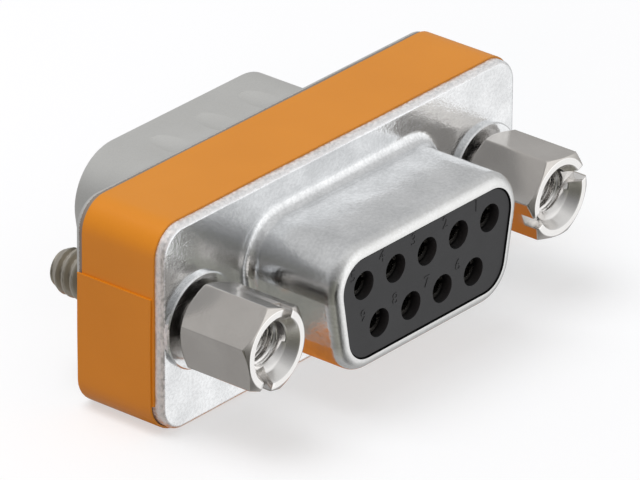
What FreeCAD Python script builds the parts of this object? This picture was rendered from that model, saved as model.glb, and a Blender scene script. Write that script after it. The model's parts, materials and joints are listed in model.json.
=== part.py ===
# Null modem adapter: a nine-way D-shaped socket and plug, back to back in a thin steel box.
# Units are millimetres. X runs along the width, Y from the socket side to the plug side, Z up.
# The origin is on the mating axis, in the front plane of the socket side's flange.
import FreeCAD, Part
import math
import os

Vec = FreeCAD.Vector

# Box formed by the two flanged shells
flange_width = 30.8
flange_height = 12.5
flange_corner_radius = 1.7
flange_edge_radius = 0.25
box_depth = 6.4
sheet = 0.4
front_skirt_depth = 3.6
skirt_gap = 0.05
lip_length = 1.3
lip_thickness = 0.3
lip_clearance = 0.03
lip_root = 0.5

# D-shaped shells
shell_to_screw = 4.335
socket_height = 7.9
socket_corner_radius = 2.5
socket_reach = 6.2
plug_clearance = 0.28
plug_reach = 5.9
d_slant_deg = 10.0
root_radius = 0.75
rim_radius = 0.72
rim_lip = 0.05
plug_rim_edge = 0.1

# Dimples pressed into the plug's shell, which grip the mating shell
dimple_pitch = 3.85
dimple_side_margin = 1.6
dimple_from_rim = 1.6
dimple_length = 3.2
dimple_width = 1.8
dimple_depth = 0.18
dimple_end_rise = 0.16

# Contacts
contact_pitch = 2.77
contact_side_margin = 2.625
row_spacing = 2.84
pin_radius = 0.51
pin_tip_length = 0.8
pin_tip_radius = 0.2
pin_behind_rim = 0.7
barrel_radius = 0.78
barrel_bore_clearance = 0.02
barrel_recess = 0.6
barrel_slot_width = 0.2
barrel_slot_length = 3.2
barrel_bore_length = 5.2
collar_width = 1.9
collar_length = 0.6
collar_clearance = 0.02
tail_width = 0.9
tail_thickness = 0.4
tail_on_board = 1.15

# Insulators
insulator_clearance = 0.05
barrel_clearance = 0.07
pin_clearance = 0.02
socket_face_recess = 0.08
nose_clearance = 0.1
socket_base_side_clearance = 0.9
plug_base_side_clearance = 0.22
base_thickness = 1.1
base_clearance = 0.02
plug_face_rise = 0.3

# Crossover board
board_thickness = 1.6
board_side_inset = 0.465
board_end_clearance = 0.12

# Jackscrews
screw_to_edge = 2.9
flange_hole_radius = 1.525
hex_across_flats = 4.8
hex_length = 5.0
head_gap = 0.45
hex_face_radius = 2.32
hex_chamfer_deg = 32.0
mouth_radius = 1.93
mouth_depth = 0.7
mouth_floor_radius = 1.55
thread_bore_radius = 1.2
thread_bore_depth = 4.6
drill_point_deg = 118.0
slot_width = 0.86
slot_depth = 0.95
shank_radius = 1.25
thread_radius = 1.42
thread_start_behind_box = 0.3
thread_reach = 3.5
thread_tip_length = 0.75
thread_tip_radius = 1.08
left_screw_turn_deg = 11.5
right_screw_turn_deg = -38.0
left_slot_deg = 67.0
right_slot_deg = 22.0

# Washers under the hex heads
washer_radius = 2.85
washer_thickness = 0.3
washer_hole_radius = 1.5
washer_edge = 0.08

# Retaining rings inside the box
ring_float = 0.25
ring_thickness = 0.5
ring_radius = 2.1
ring_clearance = 0.05
ring_opening = 1.5
groove_depth = 0.3

# Wrap-around label
label_thickness = 0.12
label_width = 5.3
label_front_margin = 0.55
lap_shift = 0.27
lap_front_trim = 0.15
lap_top = 2.1


# Sizes that follow from those above
half_width = flange_width / 2
half_height = flange_height / 2
screw_spacing = flange_width - 2 * screw_to_edge
socket_width = screw_spacing - 2 * shell_to_screw
slant = math.tan(math.radians(d_slant_deg))
core_half_height = socket_height / 2 - socket_corner_radius
core_half_top = socket_width / 2 - socket_corner_radius
core_half_bottom = core_half_top - 2 * core_half_height * slant
socket_bore_radius = socket_corner_radius - sheet
plug_bore_radius = socket_corner_radius + plug_clearance
plug_outer_radius = plug_bore_radius + sheet
socket_rim_y = -socket_reach
plug_rim_y = box_depth + plug_reach
top_row_count = round((socket_width - 2 * contact_side_margin) / contact_pitch) + 1
bottom_row_count = top_row_count - 1
row_height = row_spacing / 2
inner_half_height = half_height - sheet
socket_base_radius = inner_half_height - socket_base_side_clearance - core_half_height
plug_base_radius = inner_half_height - plug_base_side_clearance - core_half_height
board_width = socket_width - 2 * board_side_inset
board_top = board_thickness / 2
socket_base_back = sheet + base_clearance + base_thickness
plug_base_front = box_depth - socket_base_back
board_front = socket_base_back + board_end_clearance
board_back = plug_base_front - board_end_clearance
hex_corner_radius = hex_across_flats / math.sqrt(3)
head_back = -washer_thickness - head_gap
head_front = head_back - hex_length
thread_start = box_depth + thread_start_behind_box
thread_end = box_depth + thread_reach
ring_front = sheet + ring_float

D_CORE = [
    (core_half_top, core_half_height),
    (-core_half_top, core_half_height),
    (-core_half_bottom, -core_half_height),
    (core_half_bottom, -core_half_height),
]

BOX_CORE = [
    (half_width - flange_corner_radius, half_height - flange_corner_radius),
    (flange_corner_radius - half_width, half_height - flange_corner_radius),
    (flange_corner_radius - half_width, flange_corner_radius - half_height),
    (half_width - flange_corner_radius, flange_corner_radius - half_height),
]


def core_sides(core):
    """Each side of a core polygon: its start, its end and its outward direction."""
    sides = []
    for index, (x0, z0) in enumerate(core):
        x1, z1 = core[(index + 1) % len(core)]
        length = math.hypot(x1 - x0, z1 - z0)
        sides.append(((x0, z0), (x1, z1), ((z1 - z0) / length, -(x1 - x0) / length)))
    return sides


def rounded_outline(core, radius, y):
    """Closed wire at height y: the core polygon grown by radius, with round corners."""
    edges = []
    sides = core_sides(core)
    for index, (start, end, out) in enumerate(sides):
        next_out = sides[(index + 1) % len(sides)][2]
        first = Vec(start[0] + out[0] * radius, y, start[1] + out[1] * radius)
        last = Vec(end[0] + out[0] * radius, y, end[1] + out[1] * radius)
        edges.append(Part.makeLine(first, last))
        middle_x = out[0] + next_out[0]
        middle_z = out[1] + next_out[1]
        scale = radius / math.hypot(middle_x, middle_z)
        middle = Vec(end[0] + middle_x * scale, y, end[1] + middle_z * scale)
        corner = Vec(end[0] + next_out[0] * radius, y, end[1] + next_out[1] * radius)
        edges.append(Part.Arc(last, middle, corner).toShape())
    return Part.Wire(edges)


def prism(core, radius, y0, y1):
    """Solid with the grown core as its outline, from y0 to y1."""
    return Part.Face(rounded_outline(core, radius, y0)).extrude(Vec(0, y1 - y0, 0))


def cylinder(radius, x, z, y0, y1):
    """Round bar along Y."""
    return Part.makeCylinder(radius, y1 - y0, Vec(x, y0, z), Vec(0, 1, 0))


def cone(radius0, radius1, x, z, y0, y1):
    """Tapered round bar along Y."""
    return Part.makeCone(radius0, radius1, y1 - y0, Vec(x, y0, z), Vec(0, 1, 0))


def block(x0, x1, y0, y1, z0, z1):
    """Box between two corners."""
    return Part.makeBox(x1 - x0, y1 - y0, z1 - z0, Vec(x0, y0, z0))


def square_bar(width, x, z, y0, y1):
    """Square bar along Y."""
    half = width / 2
    return block(x - half, x + half, y0, y1, z - half, z + half)


def section_wire(steps):
    """Closed wire in the radius-Y plane; a step is a point, or a (middle, end) pair for an arc."""
    edges = []
    here = steps[0]
    for step in steps[1:] + [steps[0]]:
        if isinstance(step[0], tuple):
            middle, there = step
            points = [Vec(r, y, 0) for r, y in (here, middle, there)]
            edges.append(Part.Arc(*points).toShape())
        else:
            there = step
            edges.append(Part.makeLine(Vec(here[0], here[1], 0), Vec(there[0], there[1], 0)))
        here = there
    return Part.Wire(edges)


def arc_step(centre, radius, start_deg, end_deg):
    """Arc step of a section: its middle and end points round a centre."""
    points = []
    for angle_deg in ((start_deg + end_deg) / 2, end_deg):
        angle = math.radians(angle_deg)
        points.append((centre[0] + radius * math.cos(angle), centre[1] + radius * math.sin(angle)))
    return tuple(points)


def sweep_around(core, steps):
    """Carries a section of sheet round a core polygon: straight along its sides, turned at its corners."""
    section = Part.Face(section_wire(steps))
    pieces = []
    sides = core_sides(core)
    for index, (start, end, out) in enumerate(sides):
        next_out = sides[(index + 1) % len(sides)][2]
        along = Vec(end[0] - start[0], 0, end[1] - start[1])
        side = section.copy()
        side.rotate(Vec(0, 0, 0), Vec(0, 1, 0), math.degrees(math.atan2(-out[1], out[0])))
        side.translate(Vec(start[0], 0, start[1]))
        pieces.append(side.extrude(along))
        corner = side.copy()
        corner.translate(along)
        turn = math.degrees(math.acos(out[0] * next_out[0] + out[1] * next_out[1]))
        pieces.append(corner.revolve(Vec(end[0], 0, end[1]), Vec(0, -1, 0), turn))
    return pieces[0].fuse(pieces[1:]).removeSplitter()


def turned(steps, x, z):
    """Solid of revolution about the line through (x, z) along Y."""
    body = Part.Face(section_wire(steps)).revolve(Vec(0, 0, 0), Vec(0, 1, 0), 360)
    body.translate(Vec(x, 0, z))
    return body


def contact_positions():
    """Number, X and Z of each contact: the long row is on top, and both rows count towards -X."""
    spots = []
    for row, count in ((1, top_row_count), (-1, bottom_row_count)):
        for index in range(count):
            spots.append((len(spots) + 1, ((count - 1) / 2 - index) * contact_pitch, row * row_height))
    return spots


def flange_plate(opening_radius, y0, y1):
    """Flat of a flange, with the D opening and the two screw holes."""
    plate = prism(BOX_CORE, flange_corner_radius - flange_edge_radius, y0, y1)
    plate = plate.cut(prism(D_CORE, opening_radius, y0, y1))
    for side in (-1, 1):
        plate = plate.cut(cylinder(flange_hole_radius, side * screw_spacing / 2, 0, y0, y1))
    return plate


def front_skirt():
    """Turned-back edge of the socket side's flange."""
    outer = flange_corner_radius
    centre = (outer - flange_edge_radius, flange_edge_radius)
    return sweep_around(BOX_CORE, [
        (centre[0], 0),
        arc_step(centre, flange_edge_radius, -90, 0),
        (outer, front_skirt_depth),
        (outer - sheet, front_skirt_depth),
        (outer - sheet, sheet),
        (centre[0], sheet),
    ])


def rear_skirt():
    """Turned edge of the plug side's flange, with the lip that fits inside the other skirt."""
    outer = flange_corner_radius
    centre = (outer - flange_edge_radius, box_depth - flange_edge_radius)
    lip_outer = outer - sheet - lip_clearance
    lip_inner = lip_outer - lip_thickness
    seam = front_skirt_depth + skirt_gap
    return sweep_around(BOX_CORE, [
        (centre[0], box_depth),
        arc_step(centre, flange_edge_radius, 90, 0),
        (outer, seam),
        (lip_outer, seam),
        (lip_outer, seam - lip_length),
        (lip_inner, seam - lip_length),
        (lip_inner, seam + lip_root),
        (outer - sheet, seam + lip_root),
        (outer - sheet, box_depth - sheet),
        (centre[0], box_depth - sheet),
    ])


def socket_tube():
    """Drawn D tube of the socket side: flared root, rim turned in over the insulator."""
    outer = socket_corner_radius
    root = (outer + root_radius, -root_radius)
    rim = (outer - rim_radius, socket_rim_y + rim_radius)
    return sweep_around(D_CORE, [
        (root[0], 0),
        arc_step(root, root_radius, 90, 180),
        (outer, rim[1]),
        arc_step(rim, rim_radius, 0, -90),
        (rim[0] - rim_lip, socket_rim_y),
        (rim[0] - rim_lip, socket_rim_y + sheet),
        (outer - sheet, socket_rim_y + sheet),
        (outer - sheet, root[1]),
        arc_step(root, root_radius + sheet, 180, 135)[1],
        (root[0], sheet),
    ])


def plug_tube():
    """Drawn D tube of the plug side: flared root, open rim with its edges broken."""
    outer = plug_outer_radius
    inner = plug_bore_radius
    root = (outer + root_radius, box_depth + root_radius)
    edge = plug_rim_edge
    shoulder = plug_rim_y - edge
    return sweep_around(D_CORE, [
        (root[0], box_depth),
        arc_step(root, root_radius, -90, -180),
        (outer, shoulder),
        (outer - edge, plug_rim_y),
        (inner + edge, plug_rim_y),
        (inner, shoulder),
        (inner, root[1]),
        arc_step(root, root_radius + sheet, 180, 225)[1],
        (root[0], box_depth - sheet),
    ])


def barrel(radius, end_rise, x, z, y0, y1):
    """Bar along Y that bulges: the given radius at mid-length, less by end_rise at both ends."""
    end_radius = radius - end_rise
    return turned([(0, y0), (end_radius, y0), ((radius, (y0 + y1) / 2), (end_radius, y1)), (0, y1)], x, z)


def dimple_tools(x, side):
    """Bump to add and dent to cut for one long dimple, on the upper (1) or lower (-1) wall."""
    outer_z = core_half_height + plug_outer_radius
    bow = ((dimple_width / 2) ** 2 + dimple_depth ** 2) / (2 * dimple_depth)
    back = plug_rim_y - dimple_from_rim
    front = back - dimple_length
    axis_z = side * (outer_z - dimple_depth + bow)
    bump = barrel(bow + sheet, dimple_end_rise, x, axis_z, front, back)
    low_z, high_z = sorted((side * (outer_z - sheet / 2), side * (outer_z - 2 * sheet - dimple_depth)))
    bump = bump.common(block(x - dimple_width, x + dimple_width, front, back, low_z, high_z))
    return bump, barrel(bow, dimple_end_rise, x, axis_z, front, back)


def make_front_shell():
    """Socket side's shell: flange, skirt and D tube from one drawn sheet."""
    plate = flange_plate(socket_corner_radius + root_radius, 0, sheet)
    return plate.fuse([front_skirt(), socket_tube()]).removeSplitter()


def make_rear_shell():
    """Plug side's shell: flange, skirt and dimpled D tube from one drawn sheet."""
    plate = flange_plate(plug_outer_radius + root_radius, box_depth - sheet, box_depth)
    shell = plate.fuse([rear_skirt(), plug_tube()]).removeSplitter()
    for side, half_flat in ((1, core_half_top), (-1, core_half_bottom)):
        count = 1 + int(2 * (half_flat - dimple_side_margin) / dimple_pitch)
        for index in range(count):
            bump, dent = dimple_tools((index - (count - 1) / 2) * dimple_pitch, side)
            shell = shell.fuse(bump).cut(dent)
    return shell


def make_socket_insulator():
    """Moulded block that holds the sockets: nose in the rim, body in the tube, base behind the flange."""
    body_radius = socket_bore_radius - insulator_clearance
    nose_radius = socket_corner_radius - rim_radius - rim_lip - nose_clearance
    face = socket_rim_y + socket_face_recess
    shoulder = socket_rim_y + rim_radius
    base_front = sheet + base_clearance
    block_shape = prism(D_CORE, nose_radius, face, shoulder)
    block_shape = block_shape.fuse([
        prism(D_CORE, body_radius, shoulder, base_front),
        prism(D_CORE, socket_base_radius, base_front, socket_base_back),
    ]).removeSplitter()
    seat_width = collar_width + 2 * collar_clearance
    seat_front = socket_base_back - collar_length - collar_clearance
    for _, x, z in contact_positions():
        block_shape = block_shape.cut([
            cylinder(barrel_radius + barrel_clearance, x, z, face, socket_base_back),
            square_bar(seat_width, x, z, seat_front, socket_base_back),
        ])
    return block_shape


def make_plug_insulator():
    """Moulded block that holds the pins: a low D plinth in the tube, base behind the flange."""
    body_radius = plug_bore_radius - insulator_clearance
    base_back = box_depth - sheet - base_clearance
    face = box_depth + plug_face_rise
    block_shape = prism(D_CORE, body_radius, base_back, face)
    block_shape = block_shape.fuse(
        prism(D_CORE, plug_base_radius, plug_base_front, base_back)
    ).removeSplitter()
    seat_width = collar_width + 2 * collar_clearance
    seat_back = plug_base_front + collar_length + collar_clearance
    for _, x, z in contact_positions():
        block_shape = block_shape.cut([
            cylinder(pin_radius + pin_clearance, x, z, plug_base_front, face),
            square_bar(seat_width, x, z, plug_base_front, seat_back),
        ])
    return block_shape


def tail(x, z, y0, y1):
    """Flat tail that lies on the board's upper or lower face."""
    low, high = board_top, board_top + tail_thickness
    if z < 0:
        low, high = -high, -low
    return block(x - tail_width / 2, x + tail_width / 2, y0, y1, low, high)


def make_socket_contact(x, z):
    """Split spring barrel with a square collar and a flat tail."""
    mouth = socket_rim_y + socket_face_recess + barrel_recess
    collar_front = socket_base_back - collar_length
    bore = pin_radius + barrel_bore_clearance
    contact = cylinder(barrel_radius, x, z, mouth, collar_front)
    contact = contact.fuse([
        square_bar(collar_width, x, z, collar_front, socket_base_back),
        tail(x, z, collar_front, board_front + tail_on_board),
    ])
    contact = contact.cut(cylinder(bore, x, z, mouth, mouth + barrel_bore_length))
    half_slot = barrel_slot_width / 2
    return contact.cut(block(
        x - barrel_radius, x + barrel_radius, mouth, mouth + barrel_slot_length,
        z - half_slot, z + half_slot,
    ))


def make_pin_contact(x, z):
    """Round pin with a tapered tip, a square collar and a flat tail."""
    collar_back = plug_base_front + collar_length
    tip = plug_rim_y - pin_behind_rim
    shoulder = tip - pin_tip_length
    collar = square_bar(collar_width, x, z, plug_base_front, collar_back)
    return collar.fuse([
        cylinder(pin_radius, x, z, collar_back, shoulder),
        cone(pin_radius, pin_tip_radius, x, z, shoulder, tip),
        tail(x, z, board_back - tail_on_board, collar_back),
    ])


def make_board():
    """Small board that crosses the lines over; the contacts' tails grip its two faces."""
    return block(-board_width / 2, board_width / 2, board_front, board_back, -board_top, board_top)


def hex_prism(x, turn_deg):
    """Hexagonal bar of the head, with a corner at turn_deg from straight up."""
    corners = []
    for index in range(7):
        angle = math.radians(90 + turn_deg + 60 * index)
        corners.append(Vec(
            x + hex_corner_radius * math.cos(angle), head_front, hex_corner_radius * math.sin(angle),
        ))
    return Part.Face(Part.makePolygon(corners)).extrude(Vec(0, hex_length, 0))


def make_jackscrew(x, turn_deg, slot_deg):
    """Hex head with a tapped, slotted mouth, grooved shank and threaded end, turned from one bar."""
    chamfer = (hex_corner_radius - hex_face_radius) * math.tan(math.radians(hex_chamfer_deg))
    reach = hex_corner_radius + sheet
    envelope = turned([
        (0, head_front),
        (hex_face_radius, head_front),
        (hex_corner_radius, head_front + chamfer),
        (reach, head_front + chamfer),
        (reach, head_back - chamfer),
        (hex_corner_radius, head_back - chamfer),
        (hex_face_radius, head_back),
        (0, head_back),
    ], x, 0)
    head = hex_prism(x, turn_deg).common(envelope)
    groove_radius = shank_radius - groove_depth
    groove_front = ring_front - ring_clearance
    groove_back = ring_front + ring_thickness + ring_clearance
    shaft = turned([
        (0, head_back),
        (shank_radius, head_back),
        (shank_radius, groove_front),
        (groove_radius, groove_front),
        (groove_radius, groove_back),
        (shank_radius, groove_back),
        (shank_radius, thread_start),
        (thread_radius, thread_start),
        (thread_radius, thread_end - thread_tip_length),
        (thread_tip_radius, thread_end),
        (0, thread_end),
    ], x, 0)
    screw = head.fuse(shaft)
    bore_end = head_front + thread_bore_depth
    point = thread_bore_radius / math.tan(math.radians(drill_point_deg / 2))
    screw = screw.cut(turned([
        (0, head_front),
        (mouth_radius, head_front),
        (mouth_floor_radius, head_front + mouth_depth),
        (thread_bore_radius, head_front + mouth_depth),
        (thread_bore_radius, bore_end),
        (0, bore_end + point),
    ], x, 0))
    slot = block(-reach, reach, head_front, head_front + slot_depth, -slot_width / 2, slot_width / 2)
    slot.rotate(Vec(0, 0, 0), Vec(0, -1, 0), slot_deg)
    slot.translate(Vec(x, 0, 0))
    return screw.cut(slot)


def make_washer(x):
    """Flat washer with a broken front edge, lying against the flange."""
    return turned([
        (washer_hole_radius, -washer_thickness),
        (washer_radius - washer_edge, -washer_thickness),
        (washer_radius, washer_edge - washer_thickness),
        (washer_radius, 0),
        (washer_hole_radius, 0),
    ], x, 0)


def make_retaining_ring(x):
    """Open ring that snaps into the shank's groove behind the flange."""
    ring_back = ring_front + ring_thickness
    hole = shank_radius - groove_depth + ring_clearance
    ring = cylinder(ring_radius, x, 0, ring_front, ring_back)
    ring = ring.cut(cylinder(hole, x, 0, ring_front, ring_back))
    half = ring_opening / 2
    return ring.cut(block(x - half, x + half, ring_front, ring_back, -ring_radius, 0))


def make_label():
    """Sticky film wrapped once round the box; its end laps over its start on the left side."""
    front = label_front_margin
    back = front + label_width
    outer = flange_corner_radius + label_thickness
    wrap = prism(BOX_CORE, outer, front, back).cut(prism(BOX_CORE, flange_corner_radius, front, back))
    lap_front = front + lap_front_trim
    lap_back = back + lap_shift
    corner_x, corner_z = BOX_CORE[2]
    thick = 2 * label_thickness
    diagonal = math.sqrt(0.5)
    mid_outer = (flange_corner_radius + 1.5 * label_thickness) * diagonal
    mid_inner = flange_corner_radius * diagonal

    def spot(x, z):
        return Vec(x, lap_front, z)

    outline = Part.Wire([
        Part.makeLine(spot(-half_width, lap_top), spot(-half_width - thick, lap_top)),
        Part.makeLine(spot(-half_width - thick, lap_top), spot(-half_width - thick, corner_z)),
        Part.Arc(
            spot(-half_width - thick, corner_z),
            spot(corner_x - mid_outer, corner_z - mid_outer),
            spot(corner_x, -half_height - label_thickness),
        ).toShape(),
        Part.makeLine(spot(corner_x, -half_height - label_thickness), spot(corner_x, -half_height)),
        Part.Arc(
            spot(corner_x, -half_height),
            spot(corner_x - mid_inner, corner_z - mid_inner),
            spot(-half_width, corner_z),
        ).toShape(),
        Part.makeLine(spot(-half_width, corner_z), spot(-half_width, lap_top)),
    ])
    lap = Part.Face(outline).extrude(Vec(0, lap_back - lap_front, 0))
    return wrap.fuse(lap).removeSplitter()


def build_all():
    """Every piece by its name."""
    pieces = {
        "front_shell": make_front_shell(),
        "rear_shell": make_rear_shell(),
        "socket_insulator": make_socket_insulator(),
        "plug_insulator": make_plug_insulator(),
        "crossover_board": make_board(),
        "wrap_label": make_label(),
    }
    for number, x, z in contact_positions():
        pieces[f"socket_contact_{number}"] = make_socket_contact(x, z)
        pieces[f"pin_contact_{number}"] = make_pin_contact(x, z)
    screws = (
        ("left", -screw_spacing / 2, left_screw_turn_deg, left_slot_deg),
        ("right", screw_spacing / 2, right_screw_turn_deg, right_slot_deg),
    )
    for side, x, turn_deg, slot_deg in screws:
        pieces[f"{side}_jackscrew"] = make_jackscrew(x, turn_deg, slot_deg)
        pieces[f"{side}_washer"] = make_washer(x)
        pieces[f"{side}_retaining_ring"] = make_retaining_ring(x)
    return pieces


os.makedirs("parts", exist_ok=True)
for name, shape in build_all().items():
    solids = shape.Solids
    print(name, "solids", len(solids), "valid", shape.isValid(), "volume", round(shape.Volume, 2))
    shape.exportStep(os.path.join("parts", name + ".step"))
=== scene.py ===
# %% [markdown]
# # A slim serial adapter in its steel box
# The real object is two nine-way D-shaped connectors back to back in one thin box: holes in front,
# pins behind, a screw at each end and one turn of orange film round the middle.
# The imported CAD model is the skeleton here. It could be drawn again from nothing, but then the looks
# and the mechanics would drift apart, so it is loaded once and every new piece is measured from it.

# %% Load the skeleton
import bpy
import bmesh
import json
import math
from mathutils import Matrix, Vector


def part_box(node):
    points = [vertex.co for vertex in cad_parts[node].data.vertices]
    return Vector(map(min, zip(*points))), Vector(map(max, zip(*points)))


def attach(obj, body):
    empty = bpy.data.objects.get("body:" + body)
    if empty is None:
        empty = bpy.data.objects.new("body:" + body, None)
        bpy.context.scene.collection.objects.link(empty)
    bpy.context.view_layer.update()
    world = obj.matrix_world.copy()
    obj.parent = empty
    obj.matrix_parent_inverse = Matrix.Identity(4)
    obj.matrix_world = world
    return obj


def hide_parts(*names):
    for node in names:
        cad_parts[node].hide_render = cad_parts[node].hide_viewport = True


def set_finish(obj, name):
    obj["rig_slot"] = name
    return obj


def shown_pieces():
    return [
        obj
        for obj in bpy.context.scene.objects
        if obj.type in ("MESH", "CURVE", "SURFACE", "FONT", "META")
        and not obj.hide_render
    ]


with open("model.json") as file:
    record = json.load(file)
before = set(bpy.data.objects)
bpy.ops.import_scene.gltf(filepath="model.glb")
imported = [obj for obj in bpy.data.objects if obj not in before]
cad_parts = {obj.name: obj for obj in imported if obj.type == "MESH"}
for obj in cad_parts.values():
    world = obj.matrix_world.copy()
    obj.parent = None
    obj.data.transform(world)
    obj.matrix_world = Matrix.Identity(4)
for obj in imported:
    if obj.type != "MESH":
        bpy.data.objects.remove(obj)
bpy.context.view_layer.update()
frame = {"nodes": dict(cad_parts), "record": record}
nodes = frame["nodes"]

# %% [markdown]
# ## Sizes
# A designer's drawing gives every size in millimetres, and Blender works in metres. One constant turns
# one into the other, so that the numbers below read like the drawing. Places that the CAD already
# knows are asked of it rather than typed: the front of a head, or the underside of the film.

# %% Sizes in millimetres
MM = 0.001


def node_span(node, axis):
    """Low and high end of a CAD node along one axis, in millimetres."""
    low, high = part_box(node)
    return low["XYZ".index(axis)] / MM, high["XYZ".index(axis)] / MM


half_width = node_span("front_shell", "X")[1]
half_height = node_span("front_shell", "Z")[1]
box_corner_radius = 1.7
film_thickness = 0.12
film_bottom = node_span("wrap_label", "Z")[0]
socket_face = node_span("socket_insulator", "Y")[0]
screw_offset = 12.5
print("box", half_width * 2, "by", half_height * 2, "underside", film_bottom, "socket face", socket_face)

# %% [markdown]
# ## Helpers for meshes
# A turned or wrapped piece is a stack of rings, each with the same number of points. Skinning the
# stack gives clean quads that run along the shape, which shade far better than the triangles of a
# boolean. Vertices are made in millimetres and scaled once. Edges sharper than a set angle are marked
# so that flats stay flat and curves stay smooth.

# %% Mesh helpers
smooth_below_deg = 32.0


def make_object(name, points, faces):
    """New object from points in millimetres, with smooth curves and crisp edges."""
    mesh = bpy.data.meshes.new(name)
    mesh.from_pydata([Vector(p) * MM for p in points], [], faces)
    mesh.validate()
    obj = bpy.data.objects.new(name, mesh)
    bpy.context.scene.collection.objects.link(obj)
    finish_mesh(obj)
    return obj


def finish_mesh(obj):
    """Points every face outwards and marks the sharp edges."""
    work = bmesh.new()
    work.from_mesh(obj.data)
    bmesh.ops.recalc_face_normals(work, faces=work.faces)
    work.to_mesh(obj.data)
    work.free()
    obj.data.shade_smooth()
    obj.data.set_sharp_from_angle(angle=math.radians(smooth_below_deg))


def skin(rings):
    """Points and quads over a stack of closed rings."""
    count = len(rings[0])
    points = [p for ring in rings for p in ring]
    faces = []
    for row in range(len(rings) - 1):
        for column in range(count):
            beside = (column + 1) % count
            here = row * count
            above = here + count
            faces.append((here + column, here + beside, above + beside, above + column))
    return points, faces


def fan(points, faces, first, count, centre):
    """Closes a ring of points with triangles that meet at a centre."""
    points.append(centre)
    tip = len(points) - 1
    for column in range(count):
        faces.append((first + column, first + (column + 1) % count, tip))


# %% [markdown]
# ## The jackscrews
# Each jackscrew is turned from hexagonal bar: a hex head with a tapped and slotted mouth in front, and
# a 4-40 thread behind. A cylinder with a bump map would look threaded only from far away, because its
# outline stays straight. Here the thread is in the mesh: the radius of each point follows the thread's
# profile, which climbs one pitch per turn.

# %% Thread profile
thread_pitch = 0.635
crest_radius = 1.42
external_root = 1.06
internal_crest = 1.17
rows_per_pitch = 18
crest_share = 0.16
root_share = 0.2


def thread_height(turns):
    """From 0 in the root to 1 on the crest, for a place along the thread in turns."""
    wave = abs(2 * (turns % 1) - 1)
    height = (wave - root_share) / (1 - root_share - crest_share)
    height = min(1, max(0, height))
    return height * height * (3 - 2 * height)


print("profile", [round(thread_height(step / 8), 2) for step in range(9)])

# %% [markdown]
# The head's outline is a hexagon whose corners are slightly rounded, as tumbling leaves them. Arcs
# could be fitted into the corners, but a sum of high powers over the nearest flat and its two
# neighbours rounds them in one line.

# %% Head outline
across_flats = 4.8
corner_sharpness = 110
columns_per_flat = (0.0, 0.5, 1.1, 2.2, 4.5, 9.0, 15.0, 22.0, 30.0)


def hex_radius(angle):
    """Distance from the axis to the rounded hexagon, with a corner at angle 0."""
    step = math.radians(60)
    nearest = (angle % step) - step / 2
    powers = [math.cos(nearest + turn) ** corner_sharpness for turn in (0, step, -step)]
    return across_flats / 2 / sum(powers) ** (1 / corner_sharpness)


def screw_columns(turn_deg):
    """Angles round the screw from straight up towards +X: close together near the corners."""
    half_flat = list(columns_per_flat)
    flat = half_flat + [60 - a for a in reversed(half_flat[1:-1])]
    return [math.radians(60 * side + a - turn_deg) for side in range(6) for a in flat]


print("hexagon", round(hex_radius(0), 3), round(hex_radius(math.radians(30)), 3))

# %% [markdown]
# The whole screw is one closed skin, from the bottom of the bore, out over the mouth and the head, and
# back along the shank to the threaded end. Each stretch has a function that gives its rings, as a
# radius and a place along the axis for every column. It starts in the bore: the drill's cone, the
# tapped wall and the cone of the mouth. Small extra rings go round the turned edges, because a
# perfectly sharp metal edge catches no light.

# %% Bore and mouth of a screw
bore_depth = 4.6
drill_point = 0.72
countersink_depth = 0.3
mouth_depth = 0.7
mouth_radius = 1.93
mouth_floor_radius = 1.55
hex_face_radius = 2.32
edge_round = 0.04


def plain_ring(count, radius, y):
    """Round ring of the skin."""
    return [radius] * count, [y] * count


def threaded_ring(angles, y, base, rise, limit=crest_radius):
    """Ring whose radius follows the thread: base in its root, base + rise on its crest."""
    heights = [thread_height(y / thread_pitch - a / math.tau) for a in angles]
    return [min(limit, base + rise * height) for height in heights], [y] * len(angles)


def bore_rings(angles, bore_end):
    """From the drill's cone up the tapped wall."""
    count = len(angles)
    rings = [
        plain_ring(count, internal_crest / 2, bore_end + drill_point / 2),
        plain_ring(count, internal_crest, bore_end),
    ]
    tapped = bore_depth - mouth_depth - countersink_depth
    for row in range(1, int(tapped / thread_pitch * rows_per_pitch)):
        y = bore_end - row * thread_pitch / rows_per_pitch
        depth = (crest_radius - internal_crest) * min(1, (bore_end - y) / thread_pitch)
        rings.append(threaded_ring(angles, y, internal_crest + depth, -depth))
    return rings


def mouth_rings(count, head_front):
    """Floor and cone of the mouth, and the face round it."""
    floor = head_front + mouth_depth
    slope = (mouth_radius - mouth_floor_radius) / mouth_depth
    rings = [plain_ring(count, mouth_floor_radius - edge_round, floor)]
    for back in (edge_round, edge_round * 2, mouth_depth - edge_round * 2, mouth_depth - edge_round):
        rings.append(plain_ring(count, mouth_floor_radius + back * slope, floor - back))
    for out in (edge_round / 2, edge_round):
        rings.append(plain_ring(count, mouth_radius + out, head_front))
    for inward in (edge_round, edge_round / 2):
        rings.append(plain_ring(count, hex_face_radius - inward, head_front))
    return rings


print("bore", bore_depth, "deep, mouth", mouth_depth)

# %% [markdown]
# A cone trims both ends of the head, so each flat ends in the curved scallop that every real hex
# spacer shows. In the mesh the rings grow from the round face to the full hexagon along that cone, so
# the corners go back further than the flats.

# %% Head of a screw
head_length = 5.0
hex_chamfer = math.tan(math.radians(32.0))
chamfer_shares = (0.08, 0.16, 0.8, 0.9)


def chamfer_ring(across, share, run, end, inwards):
    """Ring on the cone at one end of the head, or a short run along the flats past it."""
    radii = [hex_face_radius + a * share for a in across]
    return radii, [end + inwards * (a * share * hex_chamfer + run) for a in across]


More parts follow.
